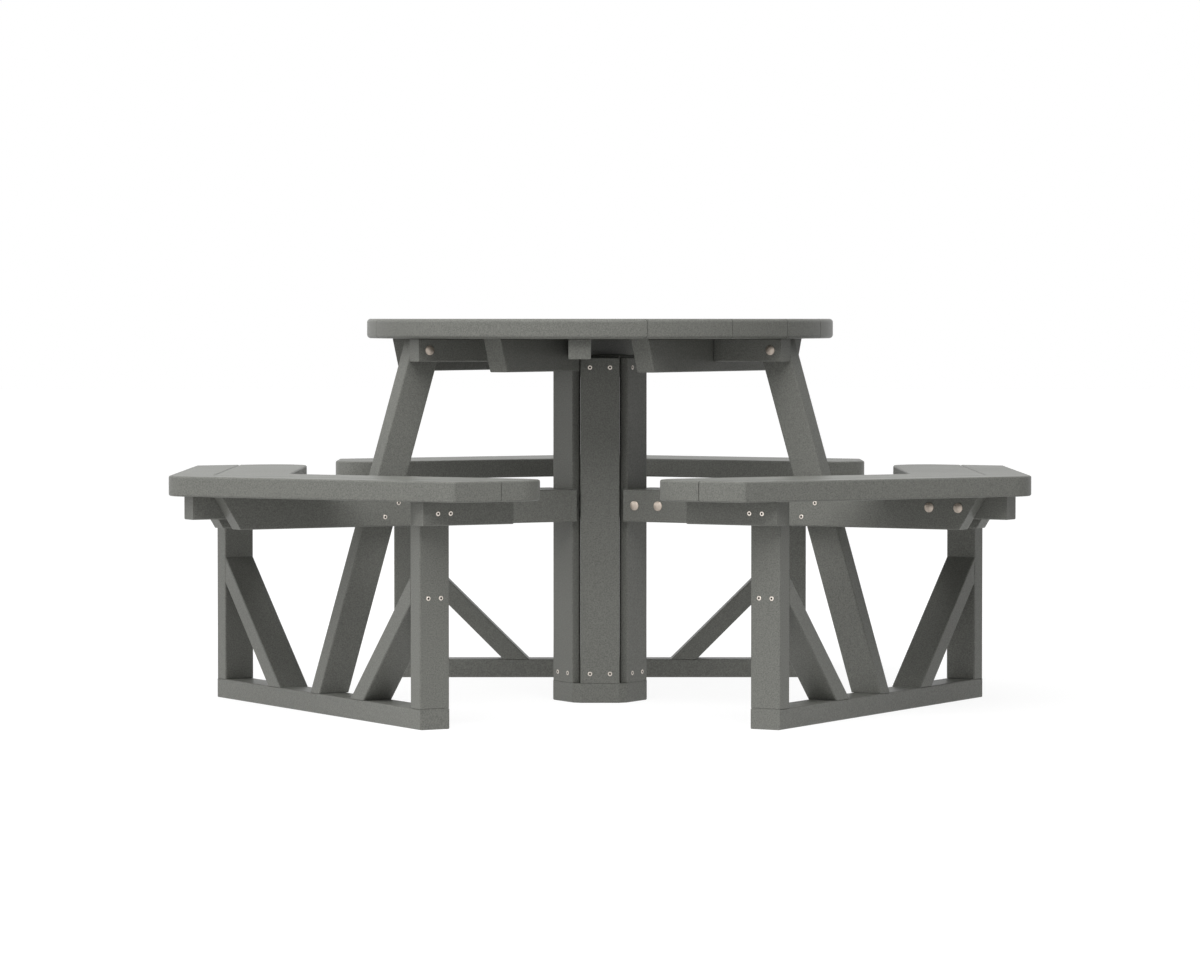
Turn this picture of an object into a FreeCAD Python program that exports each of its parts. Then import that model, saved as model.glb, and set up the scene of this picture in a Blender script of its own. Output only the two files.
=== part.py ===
import FreeCAD, Part
import math
import os

# Round picnic table on a hexagonal column, with three chevron benches carried on radial beams.
# Millimetres, +Z up. The origin is the middle of the column's foot, on the floor.
# A bench is drawn with +X pointing out along its own radius, and is then turned to its place.

Vector = FreeCAD.Vector
CENTRE = Vector(0, 0, 0)
UP = Vector(0, 0, 1)
HALF_SECTOR = math.radians(30)

# The boards of the top, counted from the middle one
TOP_BOARD_STEPS = (-3, -2, -1, 0, 1, 2, 3)

# Layout: the directions of the benches, and of the boards of the top
left_bench_angle = 210.0
right_bench_angle = 330.0
back_bench_angle = 90.0
top_angle = 330.0

# Heights above the floor
table_height = 750.0
seat_height = 456.4

# Round top
top_radius = 457.2
top_thickness = 38.0
top_edge_board_width = 112.45
top_board_gap = 2.0
top_rim_ease = 4.0
top_seam_ease = 2.0

# Hexagonal column: six staves on a base plate, screwed to two hexagonal cores
column_apothem = 84.4
stave_width = 76.2
stave_thickness = 19.0
stave_gap = 0.2
base_thickness = 38.0
core_thickness = 38.0
saddle_height = 38.0

# Three beams across the boards of the top
cross_beam_thickness = 38.0
cross_beam_depth = 63.5
cross_beam_end_slant = 24.0
middle_beam_rim_margin = 49.0
side_beam_rim_margin = 35.0
side_beam_offset = 266.0
notch_clearance = 20.0

# Cleat stock: short bearers under the top and under the seats
cleat_thickness = 38.0
cleat_depth = 44.4
front_cleat_offset = 38.2
front_cleat_width = 42.0
cleat_rim_margin = 25.0
end_cleat_inner_overhang = 113.0
end_cleat_outer_overhang = 13.0
spine_length = 200.0
spine_corner_margin = 44.6

# Bench frame: a rail on the floor, two posts, two braces and a leg up to the top
rail_seat_margin = 181.2
rail_width = 61.2
rail_height = 38.0
rail_length = 861.2
post_thickness = 38.0
brace_thickness = 37.2
brace_rise = 237.0
brace_run = 246.0
leg_thickness = 38.0
leg_rim_margin = 35.2

# Pair of radial beams that carries each seat, with a block between them at the column
radial_beam_thickness = 25.0
radial_beam_depth = 63.5
radial_beam_end_slant = 33.0
radial_beam_spine_margin = 48.0
hub_block_length = 97.0

# Chevron seat: two boards to each arm, mitred on the bench's middle line
seat_thickness = 38.0
seat_outer_apothem = 808.8
seat_outer_board = 83.0
seat_inner_board = 137.8
seat_half_length = 547.4
seat_round_corner = 69.0
seat_square_corner = 5.0
seat_edge_ease = 4.0
seat_seam_ease = 1.5

# Eased edges of the bar stock
stock_edge_ease = 2.0

# Round-headed lag bolts
bolt_radius = 4.75
bolt_hole_clearance = 0.2
bolt_head_radius = 9.25
bolt_head_height = 4.5
bolt_bite = 30.0
bolt_tip_clearance = 2.0
hub_bolt_margin = 19.0
hub_bolt_pitch = 52.0
spine_bolt_margin = 42.0
spine_bolt_pitch = 60.0
leg_bolt_outset = 12.0

# Levels and lines that follow from the sizes above
bench_angles = {"left": left_bench_angle, "right": right_bench_angle, "back": back_bench_angle}
top_underside = table_height - top_thickness
column_top = top_underside - saddle_height
seat_underside = seat_height - seat_thickness
cleat_underside = seat_underside - cleat_depth
radial_beam_underside = seat_underside - radial_beam_depth
top_board_pitch = 2 * (top_radius - top_edge_board_width - top_board_gap / 2) / (len(TOP_BOARD_STEPS) - 2)
top_board_width = top_board_pitch - top_board_gap
rail_reach = seat_outer_apothem - rail_seat_margin
rail_inner_reach = rail_reach - rail_width
end_cleat_inner_reach = rail_inner_reach - end_cleat_inner_overhang
end_cleat_outer_reach = rail_reach + end_cleat_outer_overhang
stave_inner_apothem = column_apothem - stave_thickness
cross_beam_half = cross_beam_thickness / 2
cleat_reach = top_radius - cleat_rim_margin
leg_half = leg_thickness / 2
leg_top_reach = top_radius - leg_rim_margin
leg_slope = math.atan2(rail_reach - leg_top_reach, top_underside - rail_height)
leg_level_width = rail_width / math.cos(leg_slope)
seat_seam_apothem = seat_outer_apothem - seat_outer_board
seat_inner_apothem = seat_seam_apothem - seat_inner_board
spine_outer_reach = seat_outer_apothem / math.cos(HALF_SECTOR) - spine_corner_margin
spine_inner_reach = spine_outer_reach - spine_length
radial_beam_reach = spine_outer_reach - radial_beam_spine_margin
pair_half_width = leg_half + radial_beam_thickness


def turned(shape, angle):
    """The shape turned about the upright axis through the origin."""
    result = shape.copy()
    result.rotate(CENTRE, UP, angle)
    return result


def prism(points, sweep):
    """A closed outline of corner points, swept along a straight line."""
    return Part.Face(Part.makePolygon(points + points[:1])).extrude(sweep)


def upright_prism(outline, low, high):
    """A plan outline of (x, y) corners between two levels."""
    return prism([Vector(x, y, low) for x, y in outline], UP * (high - low))


def eased(solid, along, ease):
    """The solid with its edges that run along one direction bevelled."""
    direction = Vector(along).normalize()
    edges = []
    for edge in solid.Edges:
        run = edge.Vertexes[-1].Point - edge.Vertexes[0].Point
        if run.Length > 0 and abs(run.normalize().dot(direction)) > 0.9999:
            edges.append(edge)
    return solid.makeChamfer(ease, edges)


def eased_above(slab, ease):
    """The slab with all edges of its upper face bevelled; those of its underside stay square."""
    level = slab.BoundBox.ZMax - ease
    return slab.makeChamfer(ease, [edge for edge in slab.Edges if edge.BoundBox.ZMin > level])


def radial_plank(profile, low_side, high_side, along):
    """A plank in a bench's upright middle plane: an (x, z) profile between two y faces."""
    corners = [Vector(x, low_side, z) for x, z in profile]
    plank = prism(corners, Vector(0, high_side - low_side, 0))
    return eased(plank, along, stock_edge_ease)


def bar(low, high, along):
    """A square-ended bar between two opposite corners, with its long edges eased."""
    size = high - low
    return eased(Part.makeBox(size.x, size.y, size.z, low), along, stock_edge_ease)


def bored(solid, places, face, side, cover):
    """The solid with bolt holes cut in from a face on one side of a bench's middle plane."""
    depth = cover + bolt_bite + bolt_tip_clearance
    direction = Vector(0, -side, 0)
    radius = bolt_radius + bolt_hole_clearance
    return solid.cut([Part.makeCylinder(radius, depth, Vector(x, face, z), direction) for x, z in places])


# Round top

def top_boards():
    """The disc, with its rim eased, cut into parallel boards, front board first."""
    disc = Part.makeCylinder(top_radius, top_thickness, Vector(0, 0, top_underside))
    disc = eased_above(disc, top_rim_ease)
    boards = []
    for step in TOP_BOARD_STEPS:
        corner = Vector(-top_radius, step * top_board_pitch - top_board_width / 2, top_underside)
        strip = Part.makeBox(2 * top_radius, top_board_width, top_thickness, corner)
        boards.append(turned(disc.common(eased_above(strip, top_seam_ease)), top_angle))
    return boards


def cross_beam(offset, rim_margin, notch_half_length):
    """A beam across the boards, with slanted ends, notched where it sits on the column."""
    far_side = abs(offset) + cross_beam_half
    half_length = math.sqrt((top_radius - rim_margin) ** 2 - far_side ** 2)
    low_half = half_length - cross_beam_end_slant
    underside = top_underside - cross_beam_depth
    outline = [(-half_length, top_underside), (-low_half, underside)]
    if notch_half_length > 0:
        outline += [(-notch_half_length, underside), (-notch_half_length, column_top)]
        outline += [(notch_half_length, column_top), (notch_half_length, underside)]
    outline += [(low_half, underside), (half_length, top_underside)]
    corners = [Vector(offset - cross_beam_half, y, z) for y, z in outline]
    beam = prism(corners, Vector(cross_beam_thickness, 0, 0))
    return turned(eased(beam, Vector(0, 1, 0), stock_edge_ease), top_angle)


def column_corner_reach():
    """Distance from the axis to the line through two neighbouring staves' outer corners."""
    return column_apothem * math.cos(HALF_SECTOR) + stave_width / 2 * math.sin(HALF_SECTOR)


def front_cleat():
    """A flat bearer from the middle beam, on the column's top, out to the front of the rim."""
    left = -front_cleat_offset - front_cleat_width / 2
    right = -front_cleat_offset + front_cleat_width / 2
    # The middle beam's near face is the line x cos - y sin = half its thickness.
    left_back = (left * math.cos(HALF_SECTOR) - cross_beam_half) / math.sin(HALF_SECTOR)
    right_back = (right * math.cos(HALF_SECTOR) - cross_beam_half) / math.sin(HALF_SECTOR)
    outline = [(left, -cleat_reach), (right, -cleat_reach), (right, right_back), (left, left_back)]
    cleat = upright_prism(outline, column_top, top_underside)
    return eased(cleat, Vector(0, 1, 0), stock_edge_ease)


# Hexagonal column

def hexagon(apothem):
    """Corners of a hexagon with a flat side towards each stave."""
    reach = apothem / math.cos(HALF_SECTOR)
    turns = [math.radians(60 * index) for index in range(6)]
    return [(reach * math.cos(turn), reach * math.sin(turn)) for turn in turns]


def column_staves():
    """Six upright staves, flat against the cores, with their inner edges mitred to one another."""
    half = stave_width / 2
    mitre_gap = stave_gap / 2 / math.cos(HALF_SECTOR)
    inner_half = stave_inner_apothem * math.tan(HALF_SECTOR) - mitre_gap
    mitre_reach = (half + mitre_gap) / math.tan(HALF_SECTOR)
    one_side = [(stave_inner_apothem, inner_half), (mitre_reach, half), (column_apothem, half)]
    other_side = [(x, -y) for x, y in reversed(one_side)]
    stave = upright_prism(one_side + other_side, base_thickness, column_top)
    outer_edges = [edge for edge in stave.Edges if edge.BoundBox.XMin > column_apothem - stock_edge_ease]
    upright_edges = [edge for edge in outer_edges if edge.BoundBox.ZLength > stave_width]
    stave = stave.makeChamfer(stock_edge_ease, upright_edges)
    return [turned(stave, 30 + 60 * index) for index in range(6)]


def column_base():
    """The foot: the outline round the outer corners of all staves."""
    half = stave_width / 2
    outline = []
    for index in range(6):
        turn = math.radians(30 + 60 * index)
        for side in (-half, half):
            x = column_apothem * math.cos(turn) - side * math.sin(turn)
            y = column_apothem * math.sin(turn) + side * math.cos(turn)
            outline.append((x, y))
    base = upright_prism(outline, 0, base_thickness)
    lower_edges = [edge for edge in base.Edges if edge.BoundBox.ZMax < base_thickness / 2]
    return base.makeChamfer(stock_edge_ease, lower_edges)


def column_core(low):
    """A hexagonal plate that fills the column at one level."""
    return upright_prism(hexagon(stave_inner_apothem), low, low + core_thickness)


# Benches, drawn with +X outwards

def rail():
    low = Vector(rail_inner_reach, -rail_length / 2, 0)
    high = Vector(rail_reach, rail_length / 2, rail_height)
    return bar(low, high, Vector(0, 1, 0))


def mirrored_pair(solid):
    """The solid and its mirror image across the bench's middle plane."""
    return [solid, solid.mirror(CENTRE, Vector(0, 1, 0))]


def posts():
    low = Vector(rail_inner_reach, rail_length / 2 - post_thickness, rail_height)
    high = Vector(rail_reach, rail_length / 2, seat_underside)
    return mirrored_pair(bar(low, high, UP))


def braces():
    """A pair of slanted braces, each from the rail up to the inner face of a post."""
    post_face = rail_length / 2 - post_thickness
    slope = Vector(0, brace_run, brace_rise)
    rise_on_post = brace_thickness * slope.Length / brace_run
    run_on_rail = brace_thickness * slope.Length / brace_rise
    corners = [
        Vector(rail_inner_reach, post_face, rail_height + brace_rise),
        Vector(rail_inner_reach, post_face - brace_run, rail_height),
        Vector(rail_inner_reach, post_face - brace_run + run_on_rail, rail_height),
        Vector(rail_inner_reach, post_face, rail_height + brace_rise - rise_on_post),
    ]
    brace = prism(corners, Vector(rail_width, 0, 0))
    return mirrored_pair(eased(brace, slope, stock_edge_ease))


def end_cleats():
    """Bearers under the two ends of the seat, fixed to the outer faces of the posts."""
    low = Vector(end_cleat_inner_reach, rail_length / 2, cleat_underside)
    high = Vector(end_cleat_outer_reach, rail_length / 2 + cleat_thickness, seat_underside)
    return mirrored_pair(bar(low, high, Vector(1, 0, 0)))


def leg_middle(level):
    """Distance from the axis to the middle of the leg at one level."""
    return rail_reach - (level - rail_height) * math.tan(leg_slope) - leg_level_width / 2


def leg_bolt_places():
    level = top_underside - cleat_depth / 2
    return [(leg_middle(level) + leg_bolt_outset, level)]


def leg_bolt_face(side):
    """The cleat's outer face, from which a bolt is driven into the leg."""
    return side * (leg_half + cleat_thickness)


def leg(side):
    """A slanted leg from the rail to the underside of the top."""
    profile = [
        (rail_reach - leg_level_width, rail_height),
        (rail_reach, rail_height),
        (leg_top_reach, top_underside),
        (leg_top_reach - leg_level_width, top_underside),
    ]
    slope = Vector(leg_top_reach - rail_reach, 0, top_underside - rail_height)
    plank = radial_plank(profile, -leg_half, leg_half, slope)
    return bored(plank, leg_bolt_places(), leg_bolt_face(side), side, cleat_thickness)


def leg_cleat(side, inner_reach):
    """A bearer beside a leg's head; its inner end meets a cross beam."""
    faces = sorted((side * leg_half, leg_bolt_face(side)))
    low = Vector(inner_reach, faces[0], top_underside - cleat_depth)
    high = Vector(cleat_reach, faces[1], top_underside)
    cleat = bar(low, high, Vector(1, 0, 0))
    return bored(cleat, leg_bolt_places(), leg_bolt_face(side), side, cleat_thickness)


def middle_beam_reach():
    """Along a bench's radius, where a leg cleat's far corner meets the middle beam."""
    distance = leg_half + cleat_thickness
    return (distance * math.cos(HALF_SECTOR) + cross_beam_half) / math.sin(HALF_SECTOR)


def hub_bolt_places():
    level = seat_underside - radial_beam_depth / 2
    first = column_apothem + hub_bolt_margin
    return [(first, level), (first + hub_bolt_pitch, level)]


def spine_bolt_places():
    level = seat_underside - cleat_depth / 2
    last = radial_beam_reach - spine_bolt_margin
    return [(last - spine_bolt_pitch, level), (last, level)]


def pair_bored(solid):
    """A piece of the pair with the holes of its bolts, which are driven in from the beam at -Y."""
    places = hub_bolt_places() + spine_bolt_places()
    return bored(solid, places, -pair_half_width, -1, radial_beam_thickness)


def radial_beam(side):
    profile = [
        (column_apothem, radial_beam_underside),
        (radial_beam_reach - radial_beam_end_slant, radial_beam_underside),
        (radial_beam_reach, seat_underside),
        (column_apothem, seat_underside),
    ]
    faces = sorted((side * leg_half, side * pair_half_width))
    return pair_bored(radial_plank(profile, faces[0], faces[1], Vector(1, 0, 0)))


def hub_block():
    """The spacer between the beams at the column."""
    low = Vector(column_apothem, -leg_half, radial_beam_underside)
    high = Vector(column_apothem + hub_block_length, leg_half, seat_underside)
    return pair_bored(bar(low, high, Vector(1, 0, 0)))


def seat_spine():
    """The bearer under the seat's mitre, held between the beams' outer ends."""
    low = Vector(spine_inner_reach, -leg_half, cleat_underside)
    high = Vector(spine_outer_reach, leg_half, seat_underside)
    return pair_bored(bar(low, high, Vector(1, 0, 0)))


def seat_slab():
    """The whole chevron as one slab, with rounded corners in plan and eased edges."""
    cosine = math.cos(HALF_SECTOR)
    end_drop = seat_half_length * math.tan(HALF_SECTOR)
    vertex = (seat_outer_apothem / cosine, 0)
    notch = (seat_inner_apothem / cosine, 0)
    outer_end = (vertex[0] - end_drop, seat_half_length)
    inner_end = (notch[0] - end_drop, seat_half_length)
    mirrored_outer_end = (outer_end[0], -seat_half_length)
    mirrored_inner_end = (inner_end[0], -seat_half_length)
    outline = [vertex, outer_end, inner_end, notch, mirrored_inner_end, mirrored_outer_end]
    slab = upright_prism(outline, seat_underside, seat_height)
    radii = {
        vertex: seat_round_corner,
        inner_end: seat_round_corner,
        mirrored_inner_end: seat_round_corner,
        outer_end: seat_square_corner,
        mirrored_outer_end: seat_square_corner,
    }
    for (x, y), radius in radii.items():
        corner = Vector(x, y, (seat_underside + seat_height) / 2)
        edge = min(slab.Edges, key=lambda candidate: (candidate.CenterOfMass - corner).Length)
        slab = slab.makeFillet(radius, [edge])
    return eased_above(slab, seat_edge_ease)


def seat_boards():
    """One arm's outer and inner boards, cut from the slab along the mitre and the seam."""
    reach = 2 * seat_outer_apothem
    half = Part.makeBox(reach, reach, seat_thickness, Vector(0, 0, seat_underside))
    arm = seat_slab().common(half)
    boards = []
    for low in (seat_seam_apothem, seat_seam_apothem - reach):
        strip = Part.makeBox(reach, 2 * reach, seat_thickness, Vector(low, -reach, seat_underside))
        strip = turned(eased_above(strip, seat_seam_ease), math.degrees(HALF_SECTOR))
        boards.append(arm.common(strip))
    return boards


# Fasteners

def bolt(cover):
    """A lag bolt along +Z: a shank through its cover into the piece behind, and a flat round head."""
    length = cover + bolt_bite
    corners = [
        Vector(0, 0, -length),
        Vector(bolt_radius, 0, -length),
        Vector(bolt_radius, 0, 0),
        Vector(bolt_head_radius, 0, 0),
        Vector(bolt_head_radius, 0, bolt_head_height),
        Vector(0, 0, bolt_head_height),
    ]
    return Part.Face(Part.makePolygon(corners + corners[:1])).revolve(CENTRE, UP, 360)


def bolts(places, face, side, cover):
    """Bolts driven in from a face on one side of a bench's middle plane."""
    driven = []
    for x, z in places:
        fastener = bolt(cover)
        fastener.rotate(CENTRE, Vector(1, 0, 0), -90 * side)
        fastener.translate(Vector(x, face, z))
        driven.append(fastener)
    return driven


def build():
    """Every node's solids, by name."""
    nodes = {}
    for index, board in enumerate(top_boards(), 1):
        nodes[f"top_board_{index}"] = [board]
    notch_half_length = column_corner_reach() + notch_clearance
    nodes["cross_beam_left"] = [cross_beam(-side_beam_offset, side_beam_rim_margin, 0)]
    nodes["cross_beam_middle"] = [cross_beam(0, middle_beam_rim_margin, notch_half_length)]
    nodes["cross_beam_right"] = [cross_beam(side_beam_offset, side_beam_rim_margin, 0)]
    nodes["front_cleat"] = [front_cleat()]

    nodes["column_base"] = [column_base()]
    nodes["column_lower_core"] = [column_core(base_thickness)]
    nodes["column_upper_core"] = [column_core(column_top - core_thickness)]
    nodes["column_staves"] = column_staves()

    # Two leg cleats reach in to the middle beam, and the right one to the beam that it faces squarely.
    middle = middle_beam_reach()
    cleat_sides = {"left": 1, "right": -1, "back": -1}
    cleat_ends = {"left": middle, "right": side_beam_offset + cross_beam_half, "back": middle}
    outer_board, inner_board = seat_boards()
    hub_blocks = []
    hub_bolts = []
    spine_bolts = []
    leg_bolts = []
    for bench, angle in bench_angles.items():
        side = cleat_sides[bench]
        pieces = {
            "rail": [rail()],
            "posts": posts(),
            "braces": braces(),
            "end_cleats": end_cleats(),
            "leg": [leg(side)],
            "leg_cleat": [leg_cleat(side, cleat_ends[bench])],
            "radial_beam_1": [radial_beam(1)],
            "radial_beam_2": [radial_beam(-1)],
            "seat_spine": [seat_spine()],
            "seat_outer_board_1": [outer_board],
            "seat_outer_board_2": [outer_board.mirror(CENTRE, Vector(0, 1, 0))],
            "seat_inner_board_1": [inner_board],
            "seat_inner_board_2": [inner_board.mirror(CENTRE, Vector(0, 1, 0))],
        }
        for piece, solids in pieces.items():
            nodes[f"{bench}_{piece}"] = [turned(solid, angle) for solid in solids]
        pair = (-pair_half_width, -1, radial_beam_thickness)
        bench_leg_bolts = bolts(leg_bolt_places(), leg_bolt_face(side), side, cleat_thickness)
        hub_blocks.append(turned(hub_block(), angle))
        hub_bolts += [turned(fastener, angle) for fastener in bolts(hub_bolt_places(), *pair)]
        spine_bolts += [turned(fastener, angle) for fastener in bolts(spine_bolt_places(), *pair)]
        leg_bolts += [turned(fastener, angle) for fastener in bench_leg_bolts]
    nodes["hub_blocks"] = hub_blocks
    nodes["hub_bolts"] = hub_bolts
    nodes["spine_bolts"] = spine_bolts
    nodes["leg_bolts"] = leg_bolts
    return nodes


os.makedirs("parts", exist_ok=True)
for node, solids in build().items():
    shape = solids[0] if len(solids) == 1 else Part.makeCompound(solids)
    shape.exportStep(os.path.join("parts", f"{node}.step"))
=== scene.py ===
import math

import bpy
import mathutils
import numpy as np
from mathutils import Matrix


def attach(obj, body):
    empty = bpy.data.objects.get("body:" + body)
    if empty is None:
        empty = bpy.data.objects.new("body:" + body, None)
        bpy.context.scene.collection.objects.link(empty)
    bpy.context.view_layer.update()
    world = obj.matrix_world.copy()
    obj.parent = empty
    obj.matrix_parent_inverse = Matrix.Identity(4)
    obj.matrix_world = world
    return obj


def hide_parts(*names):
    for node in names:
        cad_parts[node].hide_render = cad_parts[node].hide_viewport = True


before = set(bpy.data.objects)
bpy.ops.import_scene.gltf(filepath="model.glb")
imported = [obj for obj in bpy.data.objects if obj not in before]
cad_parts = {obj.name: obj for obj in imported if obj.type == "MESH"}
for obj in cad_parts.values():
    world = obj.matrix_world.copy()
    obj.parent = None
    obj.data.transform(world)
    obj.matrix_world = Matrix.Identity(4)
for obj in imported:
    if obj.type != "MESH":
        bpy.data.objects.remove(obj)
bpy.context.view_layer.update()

# Round picnic table of grey plastic lumber, seen level with its top. Metres, +Z up.
# A bench is measured and made with +X out along its own radius, and then turned to its place.

BENCH_ANGLES = {"left": 210, "right": 330, "back": 90}
TOP_ANGLE = 330
TOP_BOARDS = [f"top_board_{number}" for number in range(1, 8)]
ARM_ANGLE = 30
SIXTH_TURNS = range(0, 360, 60)
FIRST_STAVE = 30
STAVE_ANGLES = [FIRST_STAVE + angle for angle in SIXTH_TURNS]
HALF_STAVE_TURN = math.radians(30)
X, Y, Z = 0, 1, 2

# Tolerances of the measuring
SAME_PLACE = 1e-4
RIM_TOUCH = 0.001
NEARLY_ZERO = 1e-6
DEPTH_DIGITS = 7
BOLT_DIGITS = 5

# Departures from the frame that the photograph shows
RADIAL_BEAM_THICKNESS = 0.038
RADIAL_BEAM_REACH = 0.007
BRACE_HEAD_LIFT = 0.0045
BRACE_FOOT_SHIFT = 0.0022
COLUMN_HEAD_GAP = 0.005
LEG_CLEAT_GAP = 0.0018
STAVE_GAP = 0.0035
SEAT_SEAM_GAP = 0.002

# Rounded edges of the lumber
STOCK_ROUND = 0.003
STAVE_ROUND = 0.0015
SAWN_ROUND = 0.0013
RIM_ROUND = 0.007
TOP_SEAM_ROUND = 0.002
SEAT_ROUND = 0.0035
SEAT_SEAM_ROUND = 0.0025
MITRE_ROUND = 0.0004
SEAT_ROUND_CORNER = 0.069
SEAT_SQUARE_CORNER = 0.0052
QUARTER_STEPS = 6
ARC_STEP = math.radians(3)

# Bolt and screw heads
BOLT_RIM = 0.0014
BOLT_RISE = 0.0024
BOLT_CROWN = 0.0006
BOLT_STEPS = 40
DOME_STEPS = 10
SCREW_RADIUS = 0.0043
SCREW_PROUD = 0.0008
SCREW_SUNK = 0.002
SCREW_EASE = 0.0004
SCREW_STEPS = 24
SOCKET_RADIUS = 0.0021
SOCKET_DEPTH = 0.0004
SOCKET_LOBES = 6
SOCKET_SWELL = 0.12

# Places of the screws: offsets from a piece's middle, margins from its edges, level and reaches
STAVE_SCREW_OFFSET = 0.0195
STAVE_SCREW_MARGIN = 0.019
POST_SCREW_OFFSET = 0.013
POST_SCREW_LEVEL = 0.240
BEAM_SCREW_REACHES = (0.476, 0.505)
BEAM_SCREW_MARGINS = (0.018, 0.019)

# Lumber's finish: display colours in steps of 255, scale and detail of each noise, shares of the mix
LUMBER_DARK = (91, 92, 88)
LUMBER_PALE = (101, 102, 97)
LUMBER_FLECK = (138, 138, 133)
CLOUD_NOISE = (6, 3)
CLOUD_SHARE = 0.55
STREAK_NOISE = (190, 4)
STREAK_DRAW = (0.035, 1, 1)
FLECK_NOISE = (420, 2)
FLECK_SPAN = (0.3, 0.7)
FLECK_SHARE = 0.48
PEBBLE_NOISE = (480, 2)
PEBBLE_SHARE = 0.7
LUMBER_ROUGHNESS = 0.34
CLOUD_ROUGHNESS = 0.08
PEBBLE_ROUGHNESS = 0.06
LUMBER_GLOSS = 0.12
SKIN_STRENGTH = 0.22
SKIN_DEPTH = 0.001
GRAIN_SEED = 12
GRAIN_SHIFT = 40

# Metal's finish: dark and pale display colour and roughness of each, and the mottle on all
BOLT_METAL = ((172, 161, 150), (196, 185, 174), 0.45)
SCREW_METAL = ((192, 185, 176), (214, 206, 198), 0.27)
# The sockets' dark metal is painted shade: it stands for the shade deep inside a screw's socket
SOCKET_SHADE_METAL = ((40, 38, 35), (56, 53, 49), 0.55)
MOTTLE_NOISE = (260, 3)
MOTTLE_ROUGHNESS = 0.1
SCUFF_NOISE = (1400, 2)
SCUFF_STRENGTH = 0.06
SCUFF_DEPTH = 0.0004

# Camera: level with the top, tilted a little down
CAMERA_DISTANCE = 9.135
CAMERA_LEVEL = 0.750
CAMERA_LENS = 139.35
CAMERA_SENSOR = 36
CAMERA_SIGHT = 200
CAMERA_TILT = math.radians(1.988)

# Studio: each lamp's place, the side of its square and its power; all point at the table's middle
LAMPS = {
    "top_front_lamp": ((0.0, -4.5, 5.5), 5.0, 402),
    "top_lamp": ((0.0, 0.0, 6.0), 6.0, 101),
    "top_left_lamp": ((-4.0, -1.5, 5.0), 5.0, 127),
    "left_lamp": ((-7.0, -0.5, 2.5), 5.0, 149),
    "front_lamp": ((0.0, -8.0, 3.0), 5.0, 24),
    "low_left_lamp": ((-6.0, -6.0, 1.2), 4.0, 78),
    "low_right_lamp": ((6.0, -6.0, 1.2), 4.0, 32),
}
LAMP_TARGET = (0, 0, 0.45)
AMBIENT = 0.06

# Floor: as it is seen, its shade and its glow near the table; and the same as it lights the table
FLOOR_SHOWN = 0.16
FLOOR_GLOW = 0.9
SHADOW_REACH = (1.0, 2.4)
FLOOR_BOUNCE = 0.4
FLOOR_LIGHT = (0.6, 0.25)
FLOOR_LIGHT_REACH = (1.0, 1.5)
FLOOR_REACH = 40.0

board_shifts = np.random.default_rng(GRAIN_SEED)


# Measuring the frame

def turn(angle):
    """The matrix that turns a point about the upright axis."""
    c, s = math.cos(math.radians(angle)), math.sin(math.radians(angle))
    return np.array([[c, -s, 0], [s, c, 0], [0, 0, 1]])


def points_of(node, angle=0):
    """A node's points, seen in a frame turned by an angle about the upright axis."""
    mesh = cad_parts[node].data
    flat = np.empty(3 * len(mesh.vertices), np.float32)
    mesh.vertices.foreach_get("co", flat)
    return flat.reshape(-1, 3).astype(float) @ turn(angle)


def halves(points):
    """The points on either side of a bench's middle plane."""
    return points[points[:, Y] > 0], points[points[:, Y] < 0]


def ends(points, axis):
    """Lowest and highest place along an axis."""
    return points[:, axis].min(), points[:, axis].max()


def ends_at(points, axis, place, along):
    """Lowest and highest place along one axis, among the points at one place on another."""
    return ends(points[np.abs(points[:, axis] - place) < SAME_PLACE], along)


# Outlines: for each short side its first point, its normals at both ends and the radius of its rim

def line(start, end, easing=0):
    """A straight side. Its normal is its run turned a quarter turn to the right."""
    run = np.subtract(end, start)
    normal = np.array([[run[1], -run[0]]]) / np.hypot(*run)
    return np.array([start], float), normal, normal, np.array([easing], float)


def arc(centre, radius, first, last, easing=0, step=ARC_STEP):
    """A round side: even turns between two angles, with every normal along the radius."""
    count = max(2, math.ceil(abs(last - first) / step))
    turns = np.linspace(first, last, count + 1)
    normals = np.stack([np.cos(turns), np.sin(turns)], 1)
    points = np.asarray(centre) + radius * normals[:-1]
    return points, normals[:-1], normals[1:], np.full(count, easing, float)


def chain(sides):
    """Sides put end to end."""
    return tuple(np.concatenate(columns) for columns in zip(*sides))


def meeting(first, second, off_first, off_second):
    """The step whose product with each of two normals is a given distance: the inner corner of two
    sides that are set back by different amounts. Where the sides are in line, it is along the normal."""
    cross = first[..., 0] * second[..., 1] - first[..., 1] * second[..., 0]
    in_line = np.abs(cross) < NEARLY_ZERO
    safe = np.where(in_line, 1, cross)
    step_x = (off_first * second[..., 1] - off_second * first[..., 1]) / safe
    step_y = (off_second * first[..., 0] - off_first * second[..., 0]) / safe
    step = np.stack([step_x, step_y], -1)
    return np.where(in_line[..., None], second * off_second[..., None], step)


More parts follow.
